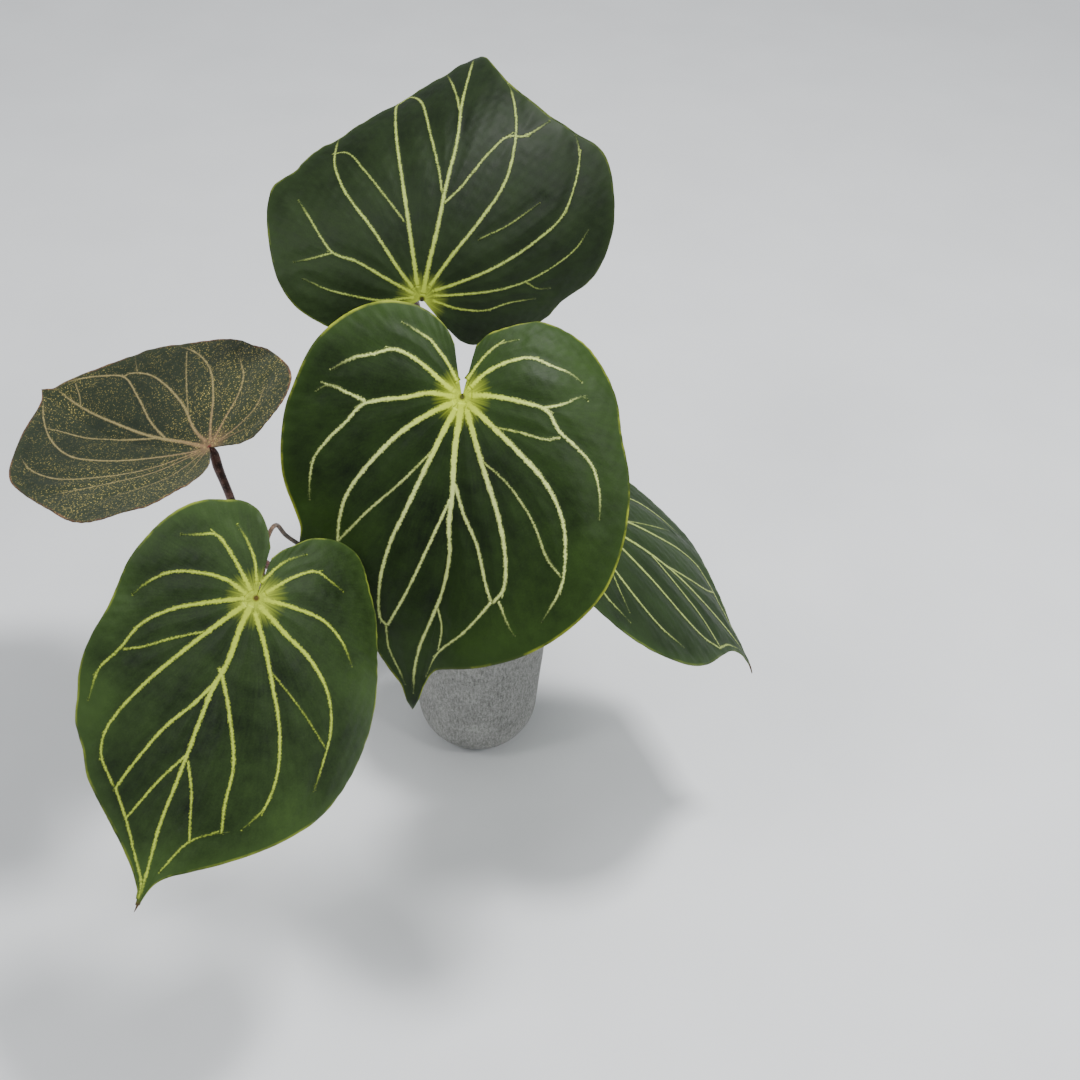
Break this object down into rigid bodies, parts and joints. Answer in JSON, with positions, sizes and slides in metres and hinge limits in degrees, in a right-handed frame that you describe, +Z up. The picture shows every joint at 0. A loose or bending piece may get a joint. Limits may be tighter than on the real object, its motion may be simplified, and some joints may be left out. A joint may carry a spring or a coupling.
{
  "type": "potted anthurium plant",
  "caption": "Heart-leaved anthurium with long stalks, standing in moss in a clear liner cup inside a rounded light grey cement pot.",
  "frame": {"origin": "middle of the pot's flat base", "axes": "+Z up along the pot's axis, +X to the picture's right, -Y to the front, towards the camera"},
  "size_m": [0.473, 0.471, 0.4188],
  "materials": {
    "cement": "matte",
    "clear_plastic": "gloss",
    "moss": "matte",
    "crown": "matte",
    "stalk": "satin",
    "leaf": "satin",
    "bronze_leaf": "satin"
  },
  "bodies": {
    "root": {"outer_pot": "cement", "liner_cup": "clear_plastic", "moss": "moss", "crown": "crown", "stalk_top": "stalk", "leaf_top": "leaf", "stalk_front": "stalk", "leaf_front": "leaf", "stalk_low": "stalk", "leaf_low": "leaf", "stalk_side": "stalk", "leaf_side": "bronze_leaf", "stalk_right": "stalk", "leaf_right": "leaf"}
  },
  "joints": []
}
